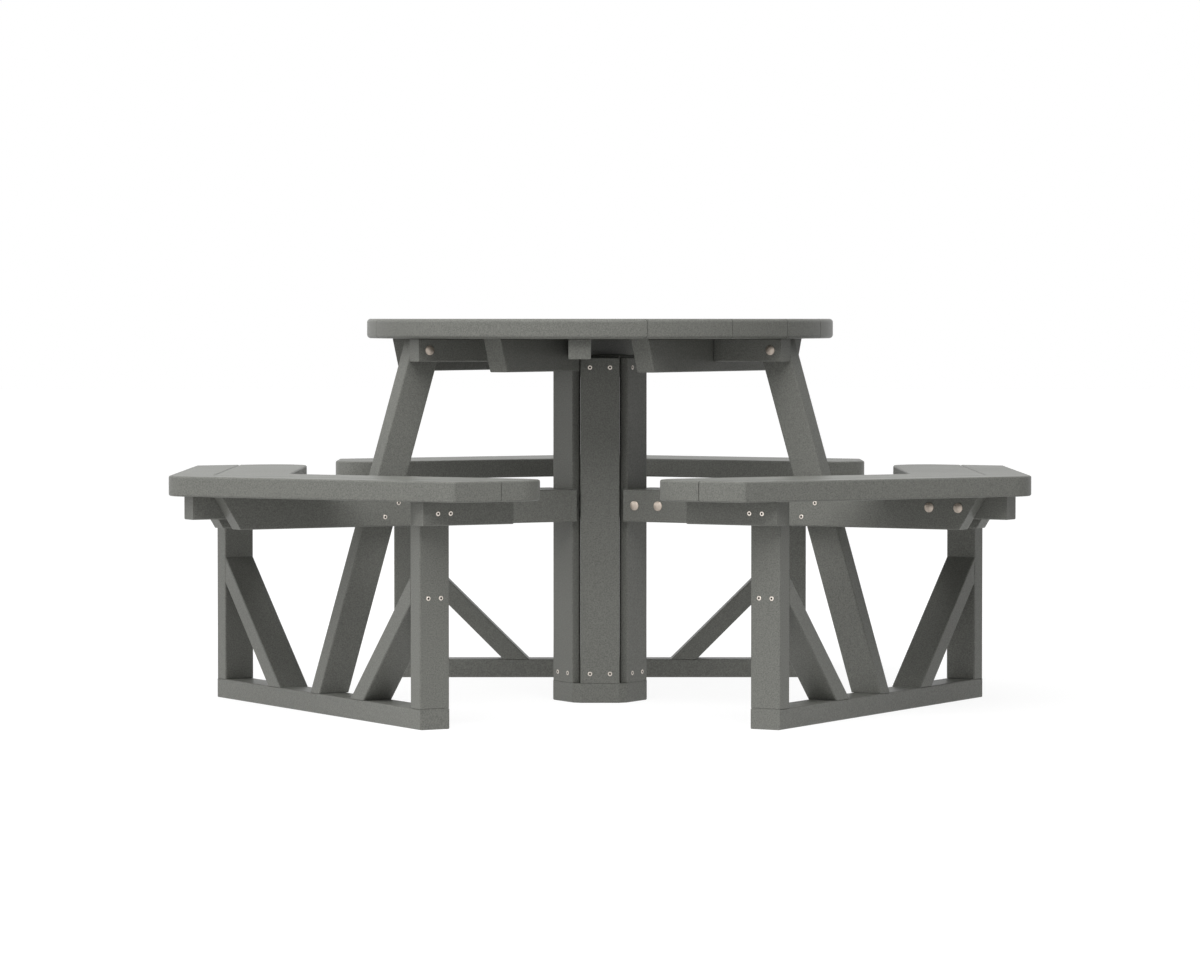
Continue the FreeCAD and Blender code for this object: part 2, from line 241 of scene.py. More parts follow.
def polygon(corners, easings, rounds=None):
    """An outline of straight sides, with an arc in each corner that has a radius. A side that the arcs
    at its ends use up is left out."""
    corners = np.asarray(corners, float)
    easings = np.asarray(easings, float)
    rounds = np.zeros(len(corners)) if rounds is None else np.asarray(rounds, float)
    after = np.roll(corners, -1, 0)
    if np.sum(corners[:, 0] * after[:, 1] - corners[:, 1] * after[:, 0]) < 0:
        corners = np.roll(corners[::-1], 2, 0)
        rounds = np.roll(rounds[::-1], 2)
        easings = np.roll(easings[::-1], 1)
    runs = np.roll(corners, -1, 0) - corners
    normals = np.stack([runs[:, 1], -runs[:, 0]], 1) / np.linalg.norm(runs, axis=1)[:, None]
    centres = corners - meeting(np.roll(normals, 1, 0), normals, rounds, rounds)
    sides = []
    for here, normal in enumerate(normals):
        there = (here + 1) % len(corners)
        start = centres[here] + rounds[here] * normal
        end = centres[there] + rounds[there] * normal
        if np.hypot(*(end - start)) > NEARLY_ZERO:
            sides.append(line(start, end, easings[here]))
        if rounds[there] > 0:
            first = math.atan2(normal[1], normal[0])
            last = math.atan2(normals[there][1], normals[there][0])
            last += 2 * math.pi if last < first else 0
            sides.append(arc(centres[there], rounds[there], first, last, easings[here]))
    return chain(sides)


# Surfaces: points, the points at each face's corners, corners to a face, normals at the corners, and
# each point's place in its own board, length first

def grid_surface(points, normals, cap_normals):
    """A grid of rings by columns, closed round, as quads with a normal at each of their four corners.
    The first and the last ring are closed by a flat face each."""
    rings, columns = points.shape[:2]
    index = np.arange(rings * columns).reshape(rings, columns)
    beside = np.roll(index, -1, 1)
    quads = np.stack([index[1:], beside[1:], beside[:-1], index[:-1]], -1)
    corners = np.concatenate([quads.ravel(), index[0], index[-1][::-1]])
    counts = np.concatenate([np.full((rings - 1) * columns, 4), [columns, columns]])
    caps = np.repeat(np.asarray(cap_normals, float), columns, axis=0)
    places = points.reshape(-1, 3)
    return places, corners, counts, np.concatenate([normals.reshape(-1, 3), caps]), places


def slab(outline, low, high, eased_faces=(1, 1)):
    """An outline between two levels with its rims rounded. At a depth under a face that is less than a
    side's radius, the side is set back by the radius less the root of radius squared minus rise squared,
    where the rise is the radius less the depth. Corners are where the sides so set back meet."""
    points, first, last, easing = outline
    quarter = np.linspace(0, math.pi / 2, QUARTER_STEPS + 1)
    depths = np.outer(np.unique(easing), 1 - np.sin(quarter))
    depths = np.unique(np.round(depths, DEPTH_DIGITS))
    depth = np.concatenate([depths, depths[::-1]])[:, None]
    level = np.concatenate([high - depths, (low + depths)[::-1]])
    upward = np.repeat([1, -1], len(depths))[:, None]
    radius = np.outer(np.repeat(eased_faces, len(depths)), easing)
    rise = np.clip(radius - depth, 0, None)
    set_back = radius - np.sqrt(radius ** 2 - rise ** 2)
    lift = upward * np.divide(rise, radius, out=np.zeros_like(rise), where=radius > 0)
    flat = np.sqrt(1 - lift ** 2)
    step = meeting(np.roll(last, 1, 0)[None], first[None], np.roll(set_back, 1, 1), set_back)
    plan = points[None] - step
    heights = np.broadcast_to(level[:, None], plan.shape[:2])
    starts = np.concatenate([first[None] * flat[..., None], lift[..., None]], -1)
    finishes = np.concatenate([last[None] * flat[..., None], lift[..., None]], -1)
    normals = np.stack([starts[1:], finishes[1:], finishes[:-1], starts[:-1]], 2)
    return grid_surface(np.dstack([plan, heights]), normals, [(0, 0, 1), (0, 0, -1)])


def spun(profile, end, steps, swells=0):
    """A profile of distances from an axis and heights along it, carried once round the axis. A ring
    that swells does so six times on the way round, by a share times the cosine of six times the turn."""
    points, first, last, _ = profile
    rings = np.concatenate([points, [end]])[::-1]
    around = np.linspace(0, 2 * math.pi, steps, endpoint=False)
    ray = np.stack([np.cos(around), np.sin(around)], -1)
    shares = np.broadcast_to(swells, len(rings))[::-1]
    swell = 1 + np.outer(shares, np.cos(SOCKET_LOBES * around))
    plan = (rings[:, :1] * swell)[..., None] * ray
    heights = np.broadcast_to(rings[:, 1:], swell.shape)

    def carried(normal):
        upright = np.broadcast_to(normal[::-1, None, 1:], (len(normal), steps, 1))
        return np.concatenate([normal[::-1, None, :1] * ray, upright], -1)

    below, above = carried(first), carried(last)
    normals = np.stack([below, np.roll(below, -1, 1), np.roll(above, -1, 1), above], 2)
    return grid_surface(np.dstack([plan, heights]), normals, [(0, 0, 1), (0, 0, -1)])


def moved(surface, matrix, offset=(0, 0, 0)):
    """A surface turned by a matrix and shifted."""
    points, corners, counts, normals, grain = surface
    return points @ matrix.T + np.asarray(offset), corners, counts, normals @ matrix.T, grain


def laid(surface, axis):
    """A surface whose own X, Y, Z become three axes in turn, the given one first."""
    order = np.zeros((3, 3))
    order[[axis, (axis + 1) % 3, (axis + 2) % 3], [0, 1, 2]] = 1
    return moved(surface, order)


def grained(surface, along):
    """A surface whose grain runs along a direction: its points in a frame with that axis first."""
    first = np.asarray(along, float) / np.linalg.norm(along)
    second = np.cross(first, np.roll(first, 1))
    second /= np.linalg.norm(second)
    points, corners, counts, normals, _ = surface
    board_axes = np.stack([first, second, np.cross(first, second)], 1)
    return points, corners, counts, normals, points @ board_axes


def together(surfaces):
    """Several surfaces as one. Each is a board of its own, so its grain gets a shift of its own."""
    sizes = np.cumsum([0] + [len(surface[0]) for surface in surfaces])
    points, corners, counts, normals, grain = zip(*surfaces)
    corners = [part + size for part, size in zip(corners, sizes)]
    grain = [part + board_shifts.uniform(0, GRAIN_SHIFT, 3) for part in grain]
    return tuple(np.concatenate(columns) for columns in (points, corners, counts, normals, grain))


def add_piece(name, surfaces, material, nodes=(), angle=0):
    """An object of one or more surfaces, turned to its place, which stands for some nodes."""
    points, corners, counts, normals, grain = moved(together(surfaces), turn(angle))
    mesh = bpy.data.meshes.new(name)
    mesh.vertices.add(len(points))
    mesh.vertices.foreach_set("co", points.astype(np.float32).ravel())
    mesh.loops.add(len(corners))
    mesh.loops.foreach_set("vertex_index", corners.astype(np.int32))
    mesh.polygons.add(len(counts))
    mesh.polygons.foreach_set("loop_start", (np.cumsum(counts) - counts).astype(np.int32))
    mesh.update(calc_edges=True)
    mesh.polygons.foreach_set("use_smooth", np.ones(len(counts), bool))
    mesh.normals_split_custom_set(normals.tolist())
    attribute = mesh.attributes.new("grain", "FLOAT_VECTOR", "POINT")
    attribute.data.foreach_set("vector", grain.astype(np.float32).ravel())
    mesh.materials.append(material)
    piece = bpy.data.objects.new(name, mesh)
    bpy.context.scene.collection.objects.link(piece)
    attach(piece, "root")
    if nodes:
        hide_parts(*nodes)


# Shader maths

class Wire:
    """An output of a shader node. Arithmetic on it adds Math nodes."""

    def __init__(self, tree, socket=None):
        self.tree = tree
        self.socket = socket

    def node(self, kind, inputs=None, output=0, **settings):
        """Any node: its settings first, then the values or links of its sockets."""
        made = self.tree.nodes.new(kind)
        for key, value in settings.items():
            setattr(made, key, value)
        for key, value in (inputs or {}).items():
            if isinstance(value, Wire):
                self.tree.links.new(value.socket, made.inputs[key])
            else:
                made.inputs[key].default_value = value
        return Wire(self.tree, made.outputs[output] if made.outputs else None)

    def maths(self, operation, first, second):
        """A Math node on two values or wires."""
        return self.node("ShaderNodeMath", {0: first, 1: second}, operation=operation)

    def __add__(self, other):
        return self.maths("ADD", self, other)

    def __radd__(self, other):
        return self.maths("ADD", other, self)

    def __mul__(self, other):
        return self.maths("MULTIPLY", self, other)

    def __rmul__(self, other):
        return self.maths("MULTIPLY", other, self)


def linear(red, green, blue):
    """A display colour in steps of 255 as linear light: a share to the power 2.4 above the toe."""
    shares = np.array([red, green, blue]) / 255
    light = np.where(shares > 0.04045, ((shares + 0.055) / 1.055) ** 2.4, shares / 12.92)
    return (*light.tolist(), 1.0)


def new_tree(name):
    """An empty node material, and the wire to build it with."""
    material = bpy.data.materials.new(name)
    material.use_nodes = True
    material.node_tree.nodes.clear()
    return material, Wire(material.node_tree)


def noise(wire, place, scale, detail):
    """Cloudy noise from 0 to 1 with features of one over its scale."""
    return wire.node("ShaderNodeTexNoise", {"Vector": place, "Scale": scale, "Detail": detail})


def mixed(wire, factor, first, second):
    """A colour between two."""
    inputs = {0: factor, 6: first, 7: second}
    return wire.node("ShaderNodeMix", inputs, output=2, data_type="RGBA")


def lumber_finish(name, coordinates, settings, output):
    """Recycled grey plastic: cloudy tone, faint drawn-out streaks along the board, fine flecks and a
    pebbled matte skin."""
    material, wire = new_tree(name)
    place = wire.node(coordinates, output=output, **settings)
    drawn = wire.node("ShaderNodeVectorMath", {0: place, 1: STREAK_DRAW}, operation="MULTIPLY")
    clouds = noise(wire, place, *CLOUD_NOISE)
    streaks = noise(wire, drawn, *STREAK_NOISE)
    flecks = noise(wire, place, *FLECK_NOISE)
    pebbles = noise(wire, place, *PEBBLE_NOISE)
    blend = clouds * CLOUD_SHARE + streaks * (1 - CLOUD_SHARE)
    tone = mixed(wire, blend, linear(*LUMBER_DARK), linear(*LUMBER_PALE))
    low, high = FLECK_SPAN
    fleck_share = wire.node("ShaderNodeMapRange", {0: flecks, 1: low, 2: high, 4: FLECK_SHARE})
    skin = pebbles * PEBBLE_SHARE + streaks * (1 - PEBBLE_SHARE)
    bump = {"Height": skin, "Strength": SKIN_STRENGTH, "Distance": SKIN_DEPTH}
    shader = wire.node("ShaderNodeBsdfPrincipled", {
        "Base Color": mixed(wire, fleck_share, tone, linear(*LUMBER_FLECK)),
        "Roughness": LUMBER_ROUGHNESS + clouds * CLOUD_ROUGHNESS + pebbles * PEBBLE_ROUGHNESS,
        "Specular IOR Level": LUMBER_GLOSS,
        "Normal": wire.node("ShaderNodeBump", bump),
    })
    wire.node("ShaderNodeOutputMaterial", {"Surface": shader})
    return material


def metal_finish(name, dark, pale, roughness):
    """Plated steel with a faint mottle in its tone and its polish."""
    material, wire = new_tree(name)
    place = wire.node("ShaderNodeTexCoord", output="Object")
    mottle = noise(wire, place, *MOTTLE_NOISE)
    scuffs = noise(wire, place, *SCUFF_NOISE)
    bump = {"Height": scuffs, "Strength": SCUFF_STRENGTH, "Distance": SCUFF_DEPTH}
    shader = wire.node("ShaderNodeBsdfPrincipled", {
        "Base Color": mixed(wire, mottle, linear(*dark), linear(*pale)),
        "Roughness": roughness + mottle * MOTTLE_ROUGHNESS,
        "Metallic": 1.0,
        "Normal": wire.node("ShaderNodeBump", bump),
    })
    wire.node("ShaderNodeOutputMaterial", {"Surface": shader})
    return material


grain_place = ("ShaderNodeAttribute", {"attribute_name": "grain"}, "Vector")
object_place = ("ShaderNodeTexCoord", {}, "Object")
lumber = lumber_finish("speckled_grey_lumber", *grain_place)
core_lumber = lumber_finish("speckled_grey_core", *object_place)
bolt_metal = metal_finish("bright_bolt_head", *BOLT_METAL)
screw_metal = metal_finish("pale_screw_head", *SCREW_METAL)
# Painted shade: dark metal on the socket floors in place of the shade of a deep socket
socket_shade_metal = metal_finish("painted_shade_screw_socket", *SOCKET_SHADE_METAL)


# Lumber, each piece measured on the node that it replaces

def plank(corners, low, high, axis):
    """A plank from an outline whose first and third sides are long, carried between two faces."""
    outline = polygon(corners, [STOCK_ROUND, SAWN_ROUND, STOCK_ROUND, SAWN_ROUND])
    along = (*np.subtract(corners[1], corners[0]), 0)
    return laid(grained(slab(outline, low, high), along), axis)


def straight_bar(points, axis):
    """A square-ended bar that fills the box of some points, with its length along an axis."""
    low, high = points.min(0), points.max(0)
    across, upward = (axis + 1) % 3, (axis + 2) % 3
    corners = [
        (low[axis], low[across]),
        (high[axis], low[across]),
        (high[axis], high[across]),
        (low[axis], high[across]),
    ]
    return plank(corners, low[upward], high[upward], axis)


def top_board(points, radius):
    """A strip of the round top: two straight seams between two arcs of the rim."""
    low, high = ends(points, Y)
    first = math.asin(max(low / radius, -1)) if low > RIM_TOUCH - radius else -math.pi / 2
    last = math.asin(min(high / radius, 1)) if high < radius - RIM_TOUCH else math.pi / 2
    sides = [arc((0, 0), radius, first, last, RIM_ROUND)]
    if last < math.pi / 2:
        reach = radius * math.cos(last)
        sides.append(line((reach, high), (-reach, high), TOP_SEAM_ROUND))
    sides.append(arc((0, 0), radius, math.pi - last, math.pi - first, RIM_ROUND))
    if first > -math.pi / 2:
        reach = radius * math.cos(first)
        sides.append(line((-reach, low), (reach, low), TOP_SEAM_ROUND))
    return slab(chain(sides), *ends(points, Z))


def cross_beam(points, notch_level=None):
    """A beam with slanted ends, notched over the column where a level is given."""
    low, high = ends(points, Z)
    under = points[np.abs(points[:, Z] - low) < SAME_PLACE][:, Y]
    low_half = under.max()
    half = ends(points, Y)[1]
    if notch_level is None:
        corners = [(-low_half, low), (low_half, low), (half, high), (-half, high)]
        return plank(corners, *ends(points, X), Y)
    notch = np.abs(under).min()
    corners = [
        (-low_half, low), (-notch, low), (-notch, notch_level), (notch, notch_level),
        (notch, low), (low_half, low), (half, high), (-half, high),
    ]
    easings = [STOCK_ROUND, SAWN_ROUND, SAWN_ROUND, SAWN_ROUND] + [STOCK_ROUND, SAWN_ROUND] * 2
    return laid(slab(polygon(corners, easings), *ends(points, X)), Y)


def mitred_cleat(points):
    """The front cleat: a flat bar with one end cut along the middle beam."""
    left, right = ends(points, X)
    front, left_back = ends_at(points, X, left, Y)
    right_back = ends_at(points, X, right, Y)[1]
    corners = [(right, front), (right, right_back), (left, left_back), (left, front)]
    return plank(corners, *ends(points, Z), X)


def column_foot(points):
    """The base plate: six long and six short sides, with only its lower rim rounded."""
    reach = ends(points, X)[1]
    half = ends_at(points, X, reach, Y)[1]
    flat_side = np.array([(reach, -half, 0), (reach, half, 0)])
    corners = np.concatenate([flat_side @ turn(angle).T for angle in SIXTH_TURNS])[:, :2]
    outline = polygon(corners, np.full(len(corners), STOCK_ROUND))
    return slab(outline, *ends(points, Z), eased_faces=(0, 1))


def column_head(points):
    """The six-sided core at the column's top, raised by the gap so that the middle beam rests on it, clear
    of the staves."""
    low, high = ends(points, Z)
    corner = (ends(points, X)[1] / math.cos(HALF_STAVE_TURN), 0, 0)
    corners = np.array([turn(angle) @ corner for angle in STAVE_ANGLES])[:, :2]
    outline = polygon(corners, np.full(len(corners), SAWN_ROUND))
    return grained(slab(outline, low, high + COLUMN_HEAD_GAP), (0, 0, 1))


def slanted_leg(points):
    """A leg whose foot and head are level cuts at different reaches."""
    low, high = ends(points, Z)
    foot = ends_at(points, Z, low, X)
    head = ends_at(points, Z, high, X)
    corners = [(low, foot[0]), (high, head[0]), (high, head[1]), (low, foot[1])]
    return plank(corners, *ends(points, Y), Z)


def slanted_brace(points):
    """A brace from a level cut on the rail to an upright cut on the post, made a little steeper than in the
    frame: its foot is nearer to the post and its head is higher."""
    low = ends(points, Z)[0]
    foot = sorted(ends_at(points, Z, low, Y), key=abs)
    post = max(ends(points, Y), key=abs)
    head = np.add(ends_at(points, Y, post, Z), BRACE_HEAD_LIFT)
    foot = np.add(foot, math.copysign(BRACE_FOOT_SHIFT, post))
    corners = [(foot[1], low), (post, head[0]), (post, head[1]), (foot[0], low)]
    return plank(corners, *ends(points, X), Y)


def radial_beam_face(points):
    """The face of a radial beam that looks away from the bench's middle plane."""
    leg_face = min(ends(points, Y), key=abs)
    return leg_face + math.copysign(RADIAL_BEAM_THICKNESS, leg_face)


def radial_beam(points):
    """A beam with a square inner end and an outer end that slants back below, longer at its upper edge than
    in the frame."""
    low, high = ends(points, Z)
    inner, outer = ends(points, X)
    low_outer = ends_at(points, Z, low, X)[1]
    corners = [(high, inner), (high, outer + RADIAL_BEAM_REACH), (low, low_outer), (low, inner)]
    leg_face = min(ends(points, Y), key=abs)
    return plank(corners, *sorted((leg_face, radial_beam_face(points))), Z)


def stave(points):
    """An upright stave with a broad outer face, whose inner edges are mitred along its neighbours with
    a narrow gap between: half the gap at each mitre, measured square to it."""
    own = points[np.abs(points[:, Y]) < points[:, X] * math.tan(HALF_STAVE_TURN)]
    inner, outer = ends(own, X)
    half = ends(own, Y)[1]
    mitre = ends_at(own, Y, half, X)[0]
    inner_half = ends_at(own, X, inner, Y)[1] - STAVE_GAP / 2 / math.cos(HALF_STAVE_TURN)
    mitre += STAVE_GAP / 2 / math.sin(HALF_STAVE_TURN)
    one_side = [(inner, -inner_half), (mitre, -half), (outer, -half)]
    corners = one_side + [(x, -y) for x, y in reversed(one_side)]
    rounds = [0, 0, STAVE_ROUND, STAVE_ROUND, 0, 0]
    outline = polygon(corners, np.full(len(corners), SAWN_ROUND), rounds)
    return grained(slab(outline, *ends(own, Z)), (0, 0, 1))


def seat_board(bench, board, side, angle):
    """One board of a seat arm: straight edges at two distances along the arm's normal, from the mitre
    on the bench's middle line to the end, half a seam's gap apart on either side. The outer board is
    rounded at the mitre, and the inner one at its end."""
    node = f"{bench}_seat_{board}_board_{1 if side > 0 else 2}"
    inner, outer = ends(points_of(node, angle + side * ARM_ANGLE), X)
    points = points_of(node, angle)
    end = np.abs(points[:, Y]).max()
    lean = math.radians(ARM_ANGLE)
    cosine, sine = math.cos(lean), math.sin(lean)

    def corner(apothem, along):
        return (apothem - along * sine) / cosine, side * along

    if board == "outer":
        inner += SEAT_SEAM_GAP / 2
        # The rounded vertex is tangent to an upright plane, which it leaves at the mitre.
        tangent = SEAT_ROUND_CORNER * math.tan(lean / 2)
        nose = corner(outer, tangent)
        corners = [corner(inner, 0), (nose[0], 0), nose, corner(outer, end), corner(inner, end)]
        easings = [MITRE_ROUND, SEAT_ROUND, SEAT_ROUND, SEAT_ROUND, SEAT_SEAM_ROUND]
        rounds = [0, 0, SEAT_ROUND_CORNER, SEAT_SQUARE_CORNER, 0]
    else:
        outer -= SEAT_SEAM_GAP / 2
        corners = [corner(inner, 0), corner(outer, 0), corner(outer, end), corner(inner, end)]
        easings = [MITRE_ROUND, SEAT_SEAM_ROUND, SEAT_ROUND, SEAT_ROUND]
        rounds = [0, 0, 0, SEAT_ROUND_CORNER]
    flat = slab(polygon(corners, easings, rounds), *ends(points, Z))
    flat = grained(flat, (-sine, side * cosine, 0))
    add_piece(f"{node}_slab", [flat], lumber, [node], angle)


def add_top():
    """Seven boards, the three beams across them and the front cleat."""
    radius = max(np.hypot(*points_of(board)[:, :2].T).max() for board in TOP_BOARDS)
    for board in TOP_BOARDS:
        points = points_of(board, TOP_ANGLE)
        add_piece(f"{board}_slab", [top_board(points, radius)], lumber, [board], TOP_ANGLE)
    column_top = ends(points_of("column_staves"), Z)[1] + COLUMN_HEAD_GAP
    for place, notch in (("left", None), ("middle", column_top), ("right", None)):
        node = f"cross_beam_{place}"
        beam = cross_beam(points_of(node, TOP_ANGLE), notch)
        add_piece(f"{node}_plank", [beam], lumber, [node], TOP_ANGLE)
    cleat = mitred_cleat(points_of("front_cleat"))
    add_piece("front_cleat_plank", [cleat], lumber, ["front_cleat"])


def add_column():
    """Six staves on the base plate, and the core at their top. The lower core stays as the frame has it."""
    foot = column_foot(points_of("column_base", FIRST_STAVE))
    add_piece("column_foot", [foot], lumber, ["column_base"], FIRST_STAVE)
    upright = stave(points_of("column_staves", FIRST_STAVE))
    staves = [moved(upright, turn(angle)) for angle in STAVE_ANGLES]
    add_piece("column_stave_set", staves, lumber, ["column_staves"])
    head = column_head(points_of("column_upper_core", FIRST_STAVE))
    add_piece("column_head", [head], lumber, ["column_upper_core"], FIRST_STAVE)
    lower_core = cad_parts["column_lower_core"].data
    lower_core.materials.clear()
    lower_core.materials.append(core_lumber)


def add_bench(bench, angle):
    """A bench's frame and seat."""
    def add(piece, surfaces):
        add_piece(f"{bench}_{piece}_plank", surfaces, lumber, [f"{bench}_{piece}"], angle)

    def points(piece):
        return points_of(f"{bench}_{piece}", angle)

    add("rail", [straight_bar(points("rail"), Y)])
    add("posts", [straight_bar(half, Z) for half in halves(points("posts"))])
    add("braces", [slanted_brace(half) for half in halves(points("braces"))])
    add("end_cleats", [straight_bar(half, X) for half in halves(points("end_cleats"))])
    add("leg", [slanted_leg(points("leg"))])
    leg_cleat = points("leg_cleat")
    leg_cleat[:, X] = np.maximum(leg_cleat[:, X], ends(leg_cleat, X)[0] + LEG_CLEAT_GAP)
    add("leg_cleat", [straight_bar(leg_cleat, X)])
    add("radial_beam_1", [radial_beam(points("radial_beam_1"))])
    add("radial_beam_2", [radial_beam(points("radial_beam_2"))])
    add("seat_spine", [straight_bar(points("seat_spine"), X)])
    for side in (1, -1):
        for board in ("outer", "inner"):
            seat_board(bench, board, side, angle)


def bench_points(node, angle):
    """The points of a node of all benches that belong to the bench along one radius."""
    points = points_of(node, angle)
    return points[points[:, X] > 0]


def add_hub_blocks():
    """The spacer of each pair of radial beams."""
    blocks = []
    for angle in BENCH_ANGLES.values():
        block = straight_bar(bench_points("hub_blocks", angle), X)
        blocks.append(moved(block, turn(angle)))
    add_piece("hub_block_set", blocks, lumber, ["hub_blocks"])


# Fasteners

def facing(side):
    """The matrix that lays a head's axis along +Y or -Y."""
    return np.array([[side, 0, 0], [0, 0, side], [0, -1, 0]], float)


def bolt_head(radius):
    """A low dome on a thin rim: a cap of the sphere that passes through the rim and the crown."""
    ball = (radius ** 2 + BOLT_RISE ** 2) / (2 * BOLT_RISE)
    centre = BOLT_RIM + BOLT_RISE - ball
    first = math.asin((BOLT_RIM - centre) / ball)
    last = math.acos(BOLT_CROWN / ball)
    sides = [
        line((radius, 0), (radius, BOLT_RIM)),
        arc((0, centre), ball, first, last, step=(last - first) / DOME_STEPS),
    ]
    crown = (ball * math.cos(last), centre + ball * math.sin(last))
    return spun(chain(sides), crown, BOLT_STEPS)


def add_bolts(node, faces, shift):
    """A head over each bolt of a node, a little further out along the bench where there is a shift. A
    bench's bolts share a face at one side of its middle plane."""
    heads = []
    for bench, angle in BENCH_ANGLES.items():
        points = bench_points(node, angle)
        face = faces[bench]
        side = 1 if face > 0 else -1
        low, high = ends(points, Z)
        radius = (high - low) / 2
        left, right = ends(points, X)
        for x in sorted({round(left + radius, BOLT_DIGITS), round(right - radius, BOLT_DIGITS)}):
            head = moved(bolt_head(radius), facing(side), (x + shift, face, (low + high) / 2))
            heads.append(moved(head, turn(angle)))
    add_piece(f"{node}_domes", heads, bolt_metal, [node])


def screw_head():
    """A flat screw head: a rim with a small bevel, and a six-lobed socket sunk in its middle."""
    corners = [
        (SCREW_RADIUS, -SCREW_SUNK),
        (SCREW_RADIUS, SCREW_PROUD - SCREW_EASE),
        (SCREW_RADIUS - SCREW_EASE, SCREW_PROUD),
        (SOCKET_RADIUS, SCREW_PROUD),
        (SOCKET_RADIUS, SCREW_PROUD - SOCKET_DEPTH),
    ]
    swells = [0, 0, 0, SOCKET_SWELL, SOCKET_SWELL]
    sides = [line(start, end) for start, end in zip(corners, corners[1:])]
    return spun(chain(sides), corners[-1], SCREW_STEPS, swells)


def socket_shade_plug():
    """A six-lobed plug that fills the lower half of a screw's socket, in dark metal: painted shade that
    stands for the shade at the bottom of a deep socket.
    """
    level = SCREW_PROUD - SOCKET_DEPTH
    start = (SOCKET_RADIUS, level - SOCKET_DEPTH)
    end = (SOCKET_RADIUS, level + SOCKET_DEPTH / 2)
    return spun(line(start, end), end, SCREW_STEPS, SOCKET_SWELL)


def add_screws(name, places):
    """Screws with a plug of painted shade in each socket: each place is the matrix that turns a head and
    the point it is at.
    """
    heads = [moved(screw_head(), matrix, point) for matrix, point in places]
    shade_plugs = [moved(socket_shade_plug(), matrix, point) for matrix, point in places]
    add_piece(name, heads, screw_metal)
    add_piece(f"{name}_sockets", shade_plugs, socket_shade_metal)


def column_screws():
    """Places of the screws in the staves: two across, near the foot and the head of each."""
    outward = np.array([[0, 0, 1], [1, 0, 0], [0, 1, 0]], float)
    staves = points_of("column_staves", FIRST_STAVE)
    low, high = ends(staves, Z)
    face = ends(staves, X)[1]
    places = []
    for angle in STAVE_ANGLES:
        for y in (-STAVE_SCREW_OFFSET, STAVE_SCREW_OFFSET):
            for z in (low + STAVE_SCREW_MARGIN, high - STAVE_SCREW_MARGIN):
                places.append((turn(angle) @ outward, turn(angle) @ (face, y, z)))
    return places


def bench_screws():
    """Places of the screws in the benches, by set: level pairs in the posts and the end cleats, and
    slanting pairs in the radial beams, on both sides of a bench."""
    sets = {"post_screws": [], "end_cleat_screws": [], "beam_screws": []}
    near, far = BEAM_SCREW_REACHES
    for bench, angle in BENCH_ANGLES.items():
        posts = points_of(f"{bench}_posts", angle)
        cleats = points_of(f"{bench}_end_cleats", angle)
        beam = points_of(f"{bench}_radial_beam_1", angle)
        middle = np.mean(ends(posts, X))
        cleat_level = np.mean(ends(cleats, Z))
        beam_face = radial_beam_face(beam)
        beam_low, beam_high = ends(beam, Z)
        lower = beam_low + BEAM_SCREW_MARGINS[0]
        upper = beam_high - BEAM_SCREW_MARGINS[1]
        for side in (1, -1):
            matrix = turn(angle) @ facing(side)
            for x in (middle - POST_SCREW_OFFSET, middle + POST_SCREW_OFFSET):
                post = (x, side * ends(posts, Y)[1], POST_SCREW_LEVEL)
                cleat = (x, side * ends(cleats, Y)[1], cleat_level)
                sets["post_screws"].append((matrix, turn(angle) @ post))
                sets["end_cleat_screws"].append((matrix, turn(angle) @ cleat))
            slant = ((far, lower), (near, upper)) if side > 0 else ((near, lower), (far, upper))
            for x, z in slant:
                sets["beam_screws"].append((matrix, turn(angle) @ (x, side * beam_face, z)))
    return sets


def add_fasteners():
    """Bolt heads on the radial beams and the legs' cleats, and all the screws."""
    pair_faces = {}
    cleat_faces = {}
    for bench, angle in BENCH_ANGLES.items():
        pair_faces[bench] = radial_beam_face(points_of(f"{bench}_radial_beam_2", angle))
        cleat_faces[bench] = max(ends(points_of(f"{bench}_leg_cleat", angle), Y), key=abs)
    add_bolts("hub_bolts", pair_faces, RADIAL_BEAM_REACH)
    add_bolts("spine_bolts", pair_faces, RADIAL_BEAM_REACH)
    add_bolts("leg_bolts", cleat_faces, 0)
    add_screws("column_screws", column_screws())
    for name, places in bench_screws().items():
        add_screws(name, places)


# Studio

def seen_share(wire):
    """1 for rays that show the background itself: to the camera, or by way of gloss or glass."""
    path = "ShaderNodeLightPath"
    camera = wire.node(path, output="Is Camera Ray")
    glossy = wire.node(path, output="Is Glossy Ray")
    passed = wire.node(path, output="Is Transmission Ray")
    return wire.maths("MAXIMUM", wire.maths("MAXIMUM", camera, glossy), passed)


def grey(level):
    """A neutral colour of one level of linear light."""
    return (level, level, level, 1)


def floor_glow(wire, distance, reach, near, far):
    """A light of the floor's own, which eases from one level near the table to another further out."""
    start, end = reach
    ease = {"interpolation_type": "SMOOTHSTEP"}
    share = wire.node("ShaderNodeMapRange", {0: distance, 1: start, 2: end}, **ease)
    return wire.node("ShaderNodeEmission", {"Color": mixed(wire, share, grey(near), grey(far))})


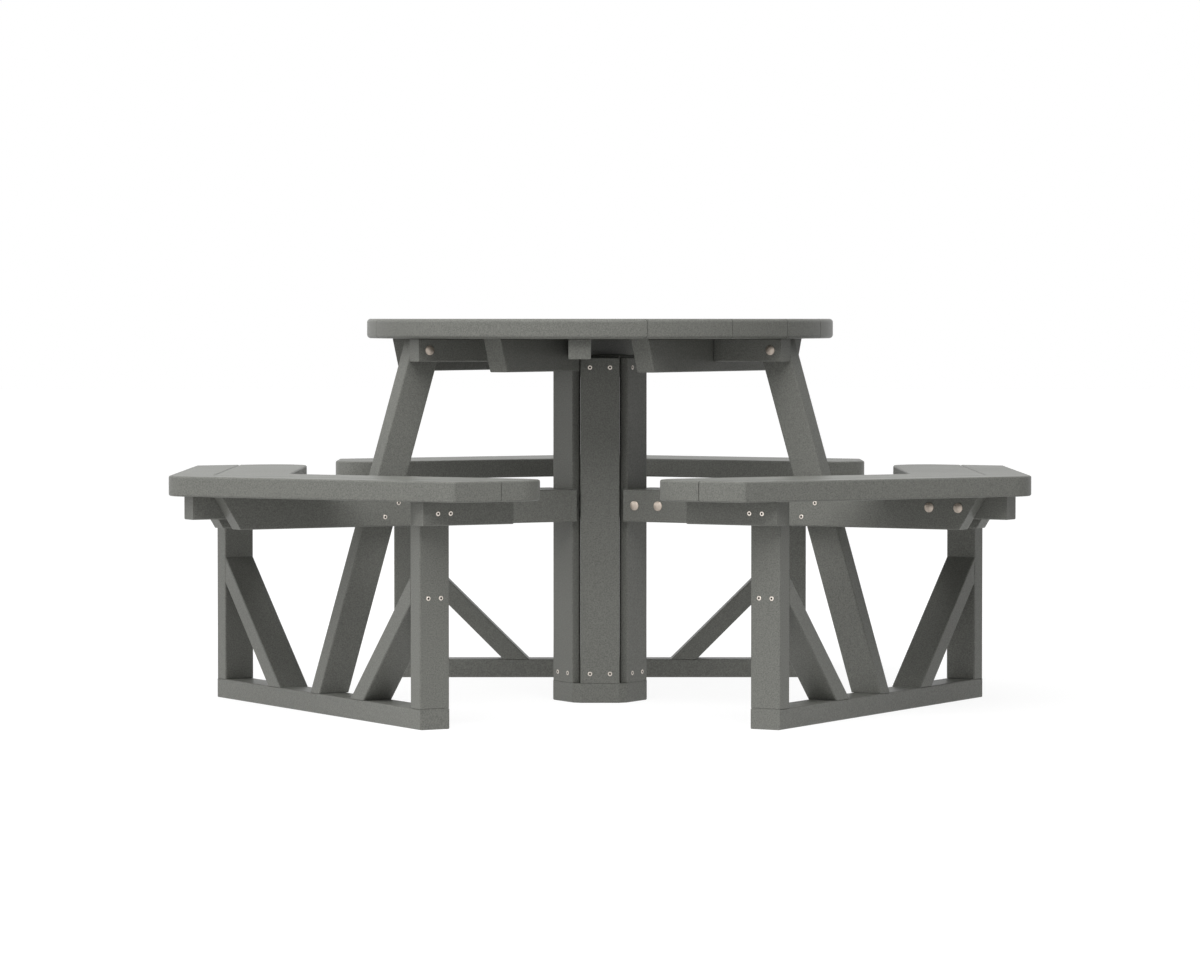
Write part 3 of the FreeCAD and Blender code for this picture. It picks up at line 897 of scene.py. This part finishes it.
def add_floor():
    """A wide white floor that shows a faint shadow. To the table it gives a light of its own and a weaker
    reflection."""
    material, wire = new_tree("white_studio_floor")
    place = wire.node("ShaderNodeTexCoord", output="Object")
    distance = wire.node("ShaderNodeVectorMath", {0: place}, output="Value", operation="LENGTH")
    shown_shade = wire.node("ShaderNodeBsdfDiffuse", {"Color": grey(FLOOR_SHOWN)})
    shown_glow = floor_glow(wire, distance, SHADOW_REACH, FLOOR_GLOW, 1)
    shown = wire.node("ShaderNodeAddShader", {0: shown_shade, 1: shown_glow})
    bounce_shade = wire.node("ShaderNodeBsdfDiffuse", {"Color": grey(FLOOR_BOUNCE)})
    bounce_glow = floor_glow(wire, distance, FLOOR_LIGHT_REACH, *FLOOR_LIGHT)
    bounce = wire.node("ShaderNodeAddShader", {0: bounce_shade, 1: bounce_glow})
    shader = wire.node("ShaderNodeMixShader", {0: seen_share(wire), 1: bounce, 2: shown})
    wire.node("ShaderNodeOutputMaterial", {"Surface": shader})
    mesh = bpy.data.meshes.new("studio_floor")
    corners = [(x, y, 0) for x, y in ((-1, -1), (1, -1), (1, 1), (-1, 1))]
    mesh.from_pydata(np.multiply(corners, FLOOR_REACH).tolist(), [], [(0, 1, 2, 3)])
    mesh.materials.append(material)
    floor = bpy.data.objects.new("studio_floor", mesh)
    bpy.context.scene.collection.objects.link(floor)


def add_world():
    """White where it is seen, and a softer light elsewhere."""
    world = bpy.data.worlds.new("studio_world")
    bpy.context.scene.world = world
    world.use_nodes = True
    world.node_tree.nodes.clear()
    wire = Wire(world.node_tree)
    colour = mixed(wire, seen_share(wire), grey(AMBIENT), grey(1))
    light = wire.node("ShaderNodeBackground", {"Color": colour})
    wire.node("ShaderNodeOutputWorld", {"Surface": light})


def add_lamp(name, place, size, power):
    """A square soft lamp that points at the table's middle."""
    lamp = bpy.data.lights.new(name, "AREA")
    lamp.size = size
    lamp.energy = power
    holder = bpy.data.objects.new(name, lamp)
    bpy.context.scene.collection.objects.link(holder)
    holder.location = place
    aim = mathutils.Vector(LAMP_TARGET) - mathutils.Vector(place)
    holder.rotation_euler = aim.to_track_quat("-Z", "Y").to_euler()


def add_camera():
    """The photograph's view."""
    lens = bpy.data.cameras.new("table_camera")
    lens.lens = CAMERA_LENS
    lens.sensor_width = CAMERA_SENSOR
    lens.sensor_fit = "HORIZONTAL"
    lens.clip_end = CAMERA_SIGHT
    camera = bpy.data.objects.new("table_camera", lens)
    camera.location = (0, -CAMERA_DISTANCE, CAMERA_LEVEL)
    camera.rotation_euler = (math.pi / 2 - CAMERA_TILT, 0, 0)
    bpy.context.scene.collection.objects.link(camera)
    bpy.context.scene.camera = camera


# The table and its studio

add_top()
add_column()
for bench, angle in BENCH_ANGLES.items():
    add_bench(bench, angle)
add_hub_blocks()
add_fasteners()
add_floor()
add_world()
for name, (place, size, power) in LAMPS.items():
    add_lamp(name, place, size, power)
add_camera()
bpy.context.scene.view_settings.view_transform = "Standard"
